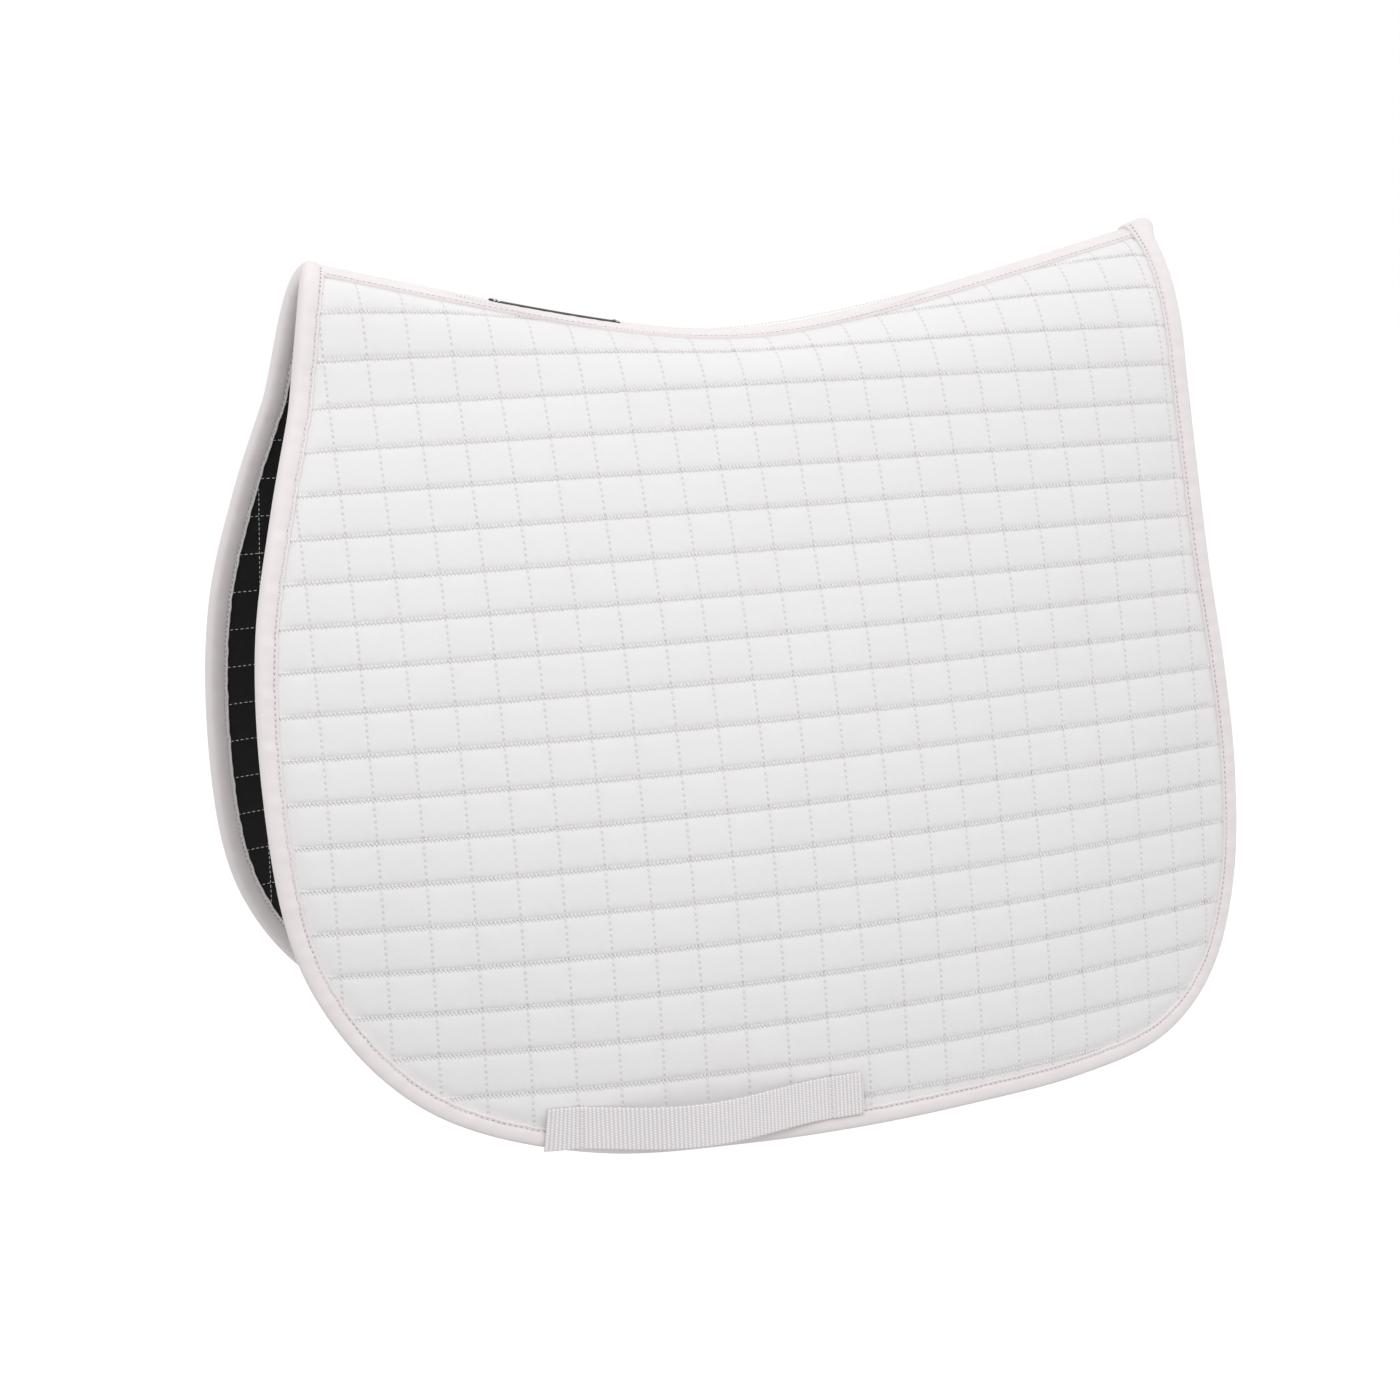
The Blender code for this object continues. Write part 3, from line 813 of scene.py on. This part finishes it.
def cover_material():
    """White brushed cotton: fine weave, soft mottling, and stitch puckers beside the lines. Its colour holds
    painted shade in the needle holes of the columns, between the teeth of the rows and at the foot of each
    puff, and the teeth are painted whiter than the cloth, partly the thread's own white and partly a painted
    highlight.
    """
    material = new_material("quilted_cotton")
    nodes = Nodes(material)
    u, v = nodes.axes()
    column = nodes.near_line(u, 0.0010)
    # The puckers beside the column stitches; the colour also darkens them, as painted shade in the needle
    # holes.
    column_pucker_and_shade = nodes.math("MULTIPLY", column, nodes.ridges(v, COLUMN_PITCH))
    down = nodes.math("MULTIPLY", nodes.math("FRACT", nodes.math("DIVIDE", v, SQUARE)), SQUARE)
    up = nodes.math("SUBTRACT", SQUARE, down)
    lip = nodes.fade(down, 0.0024)
    # foot is the lowest strip of each puff; its colour is darkened a little there, as painted shade where the
    # puff turns down.
    foot = nodes.fade(up, 0.0016)
    wave = nodes.ridges(nodes.math("SUBTRACT", u, nodes.math("MULTIPLY", down, 0.8)), ROW_PITCH)
    teeth = nodes.math("GREATER_THAN", wave, 0.45)
    near = nodes.math("MAXIMUM", lip, foot)
    # The gaps between the teeth of a row are painted dark, as the teeth's painted shadow.
    gaps = nodes.math("MULTIPLY", nodes.math("POWER", lip, 0.6), nodes.math("SUBTRACT", 1.0, teeth))
    mottle = nodes.noise(38.0, 5.0)
    slub = nodes.noise(900.0, 2.0, (1, 0.18, 1))
    clean = nodes.mix(mottle, (0.800, 0.782, 0.785, 1), (0.845, 0.836, 0.838, 1))
    clean = nodes.mix(nodes.math("MULTIPLY", slub, 0.35), clean, (0.87, 0.865, 0.866, 1))
    # The teeth of each row are painted whiter than the cloth: partly the white thread's own colour, partly a
    # painted highlight.
    white = nodes.math("MULTIPLY", nodes.math("POWER", near, 0.5), teeth)
    clean = nodes.mix(white, clean, (1.0, 0.995, 0.997, 1))
    # The colour is darkened here as painted shade: in the column needle holes, between the row teeth, and
    # faintly at each puff's foot.
    painted_shade = nodes.math("MULTIPLY", column_pucker_and_shade, 0.25)
    for shade, share in ((gaps, 0.50), (foot, 0.04)):
        painted_shade = nodes.math("MAXIMUM", painted_shade, nodes.math("MULTIPLY", shade, share))
    colour = nodes.mix(painted_shade, clean, (0.50, 0.46, 0.47, 1))
    pucker = nodes.math("MAXIMUM", nodes.math("MULTIPLY", gaps, 0.7), column_pucker_and_shade)
    normal = nodes.bump(nodes.math("SUBTRACT", 1.0, pucker), 0.0006, 0.8)
    normal = nodes.bump(slub, 0.0002, 0.5, normal)
    normal = nodes.bump(weave(nodes, 0.0006), 0.00012, 0.5, normal)
    nodes.finish(colour, 0.88, normal, sheen=0.15, sheen_roughness=0.6, specular=0.2)
    return material


def lining_material():
    """Black woven lining with a faint dusty nap."""
    material = new_material("lining_weave")
    nodes = Nodes(material)
    dust = nodes.noise(220.0, 4.0)
    colour = nodes.mix(dust, (0.004, 0.004, 0.0045, 1), (0.012, 0.011, 0.012, 1))
    normal = nodes.bump(weave(nodes, 0.0007), 0.00015, 0.6)
    nodes.finish(colour, 0.82, normal, sheen=0.04, specular=0.25)
    return material


def stitch_holes(nodes, along, across, place, pitch):
    """1 in the needle holes of a stitch line at this place across a band, and 0 elsewhere."""
    off = nodes.math("ABSOLUTE", nodes.math("SUBTRACT", nodes.math("ABSOLUTE", across), place))
    line = nodes.fade(off, 0.0006)
    dash = nodes.math("GREATER_THAN", nodes.ridges(along, pitch), 0.45)
    return nodes.math("MULTIPLY", line, dash)


def binding_material(name, groove):
    """White satin binding with a fine cross rib and a slightly pink tint; the needle holes of its stitch line
    are darkened as painted shade.
    """
    material = new_material(name)
    nodes = Nodes(material)
    u, v = nodes.axes()
    painted_shade = stitch_holes(nodes, u, v, groove, EDGE_PITCH)
    rib = nodes.ridges(u, 0.0007)
    mottle = nodes.noise(60.0, 4.0)
    colour = nodes.mix(mottle, (0.800, 0.735, 0.737, 1), (0.860, 0.808, 0.806, 1))
    # The needle holes of the stitch line are darkened as painted shade.
    colour = nodes.mix(nodes.math("MULTIPLY", painted_shade, 0.75), colour, (0.30, 0.25, 0.25, 1))
    roughness = nodes.math("MULTIPLY_ADD", mottle, 0.15, 0.45)
    normal = nodes.bump(rib, 0.00010, 0.35)
    normal = nodes.bump(nodes.noise(420.0, 3.0), 0.0002, 0.25, normal)
    normal = nodes.bump(nodes.math("SUBTRACT", 1.0, painted_shade), 0.0005, 0.7, normal)
    nodes.finish(colour, roughness, normal, sheen=0.1, specular=0.35)
    return material


def webbing_material():
    """White webbing: the ribs are in the mesh, and the yarn's twist is in the bump. Its colour is darker
    between the ribs and the knots, as painted shade.
    """
    material = new_material("ribbed_webbing")
    nodes = Nodes(material)
    u, v = nodes.axes()
    rib = nodes.ridges(nodes.math("SUBTRACT", u, RIB_PITCH / 4), RIB_PITCH)
    turn = nodes.math("FLOOR", nodes.math("DIVIDE", u, RIB_PITCH))
    knot = nodes.ridges(nodes.math("MULTIPLY_ADD", turn, KNOT_PITCH / 2, v), KNOT_PITCH)
    fibre = nodes.ridges(nodes.math("ADD", v, u), 0.0004)
    raised = nodes.math("MULTIPLY", rib, nodes.math("MULTIPLY_ADD", knot, 0.8, 0.2))
    # Darker between the ribs and the knots, as painted shade; the raised knots keep the yarn's white.
    colour = nodes.mix(raised, (0.70, 0.655, 0.665, 1), (1.0, 0.99, 0.992, 1))
    normal = nodes.bump(fibre, 0.0001, 0.4)
    nodes.finish(colour, 0.55, normal, sheen=0.15, specular=0.5)
    return material


def label_material():
    """Black woven label with a faint diagonal satin weave."""
    material = new_material("label_satin")
    nodes = Nodes(material)
    u, v = nodes.axes()
    twill = nodes.ridges(nodes.math("ADD", u, v), 0.0006)
    colour = nodes.mix(twill, (0.006, 0.005, 0.006, 1), (0.022, 0.019, 0.021, 1))
    nodes.finish(colour, 0.5, nodes.bump(twill, 0.0001, 0.4), specular=0.4)
    return material


def thread_material():
    """White polyester thread with a slight gloss; its shade wanders along the stitches."""
    material = new_material("sewing_thread")
    nodes = Nodes(material)
    place = nodes.add("ShaderNodeTexCoord").outputs["Object"]
    node = nodes.add("ShaderNodeTexNoise")
    nodes.fill(node.inputs["Vector"], place)
    node.inputs["Scale"].default_value = 700.0
    colour = nodes.mix(node.outputs["Fac"], (0.86, 0.84, 0.843, 1), (0.97, 0.96, 0.96, 1))
    nodes.finish(colour, 0.45, nodes.bump(node.outputs["Fac"], 0.0001, 0.3), specular=0.4)
    return material


def bend(piece, side, body):
    """Bakes the piece's transform into its mesh."""
    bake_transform(piece)


def build_half(word, side, grid, puffs, paint):
    """One side of the pad, with its cloth, its bound edge, its threads and its strap."""
    body = word + "_flap"
    cover = quilted_cover(word, side, grid, puffs, paint["cover"])
    names = [f"{word}_{layer}{top}" for layer in ("cover", "wadding") for top in ("", "_top")]
    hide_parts(*names)
    lining = quilted_lining(word, side, grid, puffs, paint["lining"])
    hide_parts(word + "_lining", word + "_lining_top")
    line = half_edge(ARCH_SHARE)
    binding = bound_edge(word + "_binding", side, line, paint["binding"])
    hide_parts(word + "_edge_binding")
    threads = [
        quilt_stitches(word, side, "cover", paint["thread"]),
        quilt_stitches(word, side, "lining", paint["thread"]),
        binding_thread(word + "_binding_thread", side, line, paint["thread"]),
    ]
    for piece in (cover, lining, binding, *threads):
        bend(piece, side, body)
    build_strap(word, side, body, paint)


def build_strap(word, side, body, paint):
    strap = girth_strap(word + "_girth_webbing", side, paint["webbing"])
    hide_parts(word + "_girth_strap")
    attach(strap, body)
    for end in ("front", "rear"):
        thread = strap_thread(f"{word}_webbing_{end}_thread", side, end == "front", paint["thread"])
        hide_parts(f"{word}_strap_{end}_stitching")
        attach(thread, body)


def build_crown(paint):
    """What crosses or follows the spine: two bindings, two tapes, the label and their threads."""
    ends = (WITHER_END + BINDING_WIDTH - 0.003, LOIN_END - BINDING_WIDTH + 0.003)
    offs = (-TAPE_GROOVE, TAPE_GROOVE)
    white = paint["thread"]
    pieces = []
    for name, node, front in (("wither_arch", "wither_binding", True), ("rear_arch", "rear_binding", False)):
        arch = arch_binding(name, front, paint["binding"])
        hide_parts(node)
        pieces.append((arch, "binding_tape"))
    tape = spine_tape("seam_tape", ends, TAPE_WIDTH / 2, 0.0002, 1, paint["tape"])
    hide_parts("spine_tape")
    under = spine_tape("seam_tape_inside", ends, TAPE_WIDTH / 2, -PAD - 0.0004, -1, paint["tape"])
    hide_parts("inner_tape")
    thread = seam_stitches("seam_tape_thread", ends, offs, 0.0009, white)
    inside_thread = seam_stitches("seam_tape_inside_thread", ends, offs, -PAD - 0.0010, white)
    label = spine_label("woven_label", paint["label"])
    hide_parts("spine_label")
    pieces += [(tape, "binding_tape"), (under, "binding_tape"), (thread, "thread")]
    pieces += [(inside_thread, "thread"), (label, "label_weave")]
    for end, start in (("front", LABEL_FRONT + 0.0006), ("rear", LABEL_REAR - 0.0030)):
        rows = np.linspace(-0.0036, 0.0036, 5)
        stretch = (start, start + LABEL_TACK)
        tack = seam_stitches(f"label_{end}_thread", stretch, rows, 0.0022, white, LABEL_TACK, 0.0006)
        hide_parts(f"label_{end}_stitching")
        pieces.append((tack, "thread"))
    for piece, slot in pieces:
        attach(piece, "crown")


def build_camera():
    yaw, pitch, roll = CAMERA_YAW, CAMERA_PITCH, CAMERA_ROLL
    level = np.array([math.sin(yaw), math.cos(yaw), 0.0])
    forward = level * math.cos(pitch) - np.array([0, 0, math.sin(pitch)])
    right = np.array([math.cos(yaw), -math.sin(yaw), 0.0])
    down = np.cross(forward, right)
    right, down = (
        math.cos(roll) * right + math.sin(roll) * down,
        math.cos(roll) * down - math.sin(roll) * right,
    )
    data = bpy.data.cameras.new("camera")
    data.lens = CAMERA_LENS
    data.sensor_width = 36
    camera = bpy.data.objects.new("camera", data)
    turn = np.eye(4)
    turn[:3, :3] = np.stack([right, -down, -forward], axis=1)
    turn[:3, 3] = CAMERA_PLACE
    camera.matrix_world = Matrix(turn.tolist())
    bpy.context.scene.collection.objects.link(camera)
    bpy.context.scene.camera = camera


def area_light(name, place, target, size, power):
    data = bpy.data.lights.new(name, "AREA")
    data.energy = power
    data.size = size
    light = bpy.data.objects.new(name, data)
    light.location = place
    heading = np.array(target, float) - np.array(place, float)
    light.rotation_euler = Matrix(look_at(heading).tolist()).to_euler()
    bpy.context.scene.collection.objects.link(light)


def look_at(heading):
    back = -unit(np.asarray(heading, float))
    right = unit(np.cross((0, 0, 1), back))
    return np.stack([right, np.cross(back, right), back], axis=1)


def build_world():
    """Soft white light, stronger from above and behind, in a plain white room."""
    world = bpy.data.worlds.new("studio")
    world.use_nodes = True
    tree = world.node_tree
    heading = tree.nodes.new("ShaderNodeTexCoord").outputs["Generated"]
    tilt = tree.nodes.new("ShaderNodeVectorMath")
    tilt.operation = "DOT_PRODUCT"
    tree.links.new(heading, tilt.inputs[0])
    tilt.inputs[1].default_value = LIGHT_TILT
    level = tree.nodes.new("ShaderNodeMath")
    level.operation = "ADD"
    tree.links.new(tilt.outputs["Value"], level.inputs[0])
    level.inputs[1].default_value = LIGHT_LEVEL
    seen = tree.nodes.new("ShaderNodeMix")
    tree.links.new(tree.nodes.new("ShaderNodeLightPath").outputs["Is Camera Ray"], seen.inputs["Factor"])
    tree.links.new(level.outputs[0], seen.inputs[2])
    seen.inputs[3].default_value = 1.0
    background = tree.nodes["Background"]
    background.inputs["Color"].default_value = (1, 1, 1, 1)
    tree.links.new(seen.outputs[0], background.inputs["Strength"])
    bpy.context.scene.world = world


def build_studio():
    build_world()
    bpy.context.scene.view_settings.view_transform = "Standard"
    low = cad_box[0][2] - FLOOR_DROP
    corners = np.array([(-1, -1, 0), (1, -1, 0), (1, 1, 0), (-1, 1, 0)]) * FLOOR_REACH
    corners = corners + np.array([0, 0, low])
    paint = new_material("pale_floor")
    shader = paint.node_tree.nodes["Principled BSDF"]
    shader.inputs["Base Color"].default_value = (0.98, 0.98, 0.98, 1)
    shader.inputs["Roughness"].default_value = 0.9
    shader.inputs["Emission Color"].default_value = (1, 1, 1, 1)
    shader.inputs["Emission Strength"].default_value = 0.12
    floor = new_mesh("floor", corners, np.array([(0, 1, 2, 3)]), paint)
    floor.visible_diffuse = False
    area_light("key", KEY_PLACE, KEY_TARGET, KEY_SIZE, KEY_POWER)


def build_object():
    paint = {
        "cover": cover_material(),
        "lining": lining_material(),
        "binding": binding_material("satin_binding", BINDING_GROOVE),
        "tape": binding_material("satin_tape", TAPE_GROOVE),
        "webbing": webbing_material(),
        "label": label_material(),
        "thread": thread_material(),
    }
    puffs = simulated_puffs()
    grid = quilt_grid()
    for word, side in SIDES.items():
        build_half(word, side, grid, puffs, paint)
    build_crown(paint)


build_camera()
build_studio()
build_object()
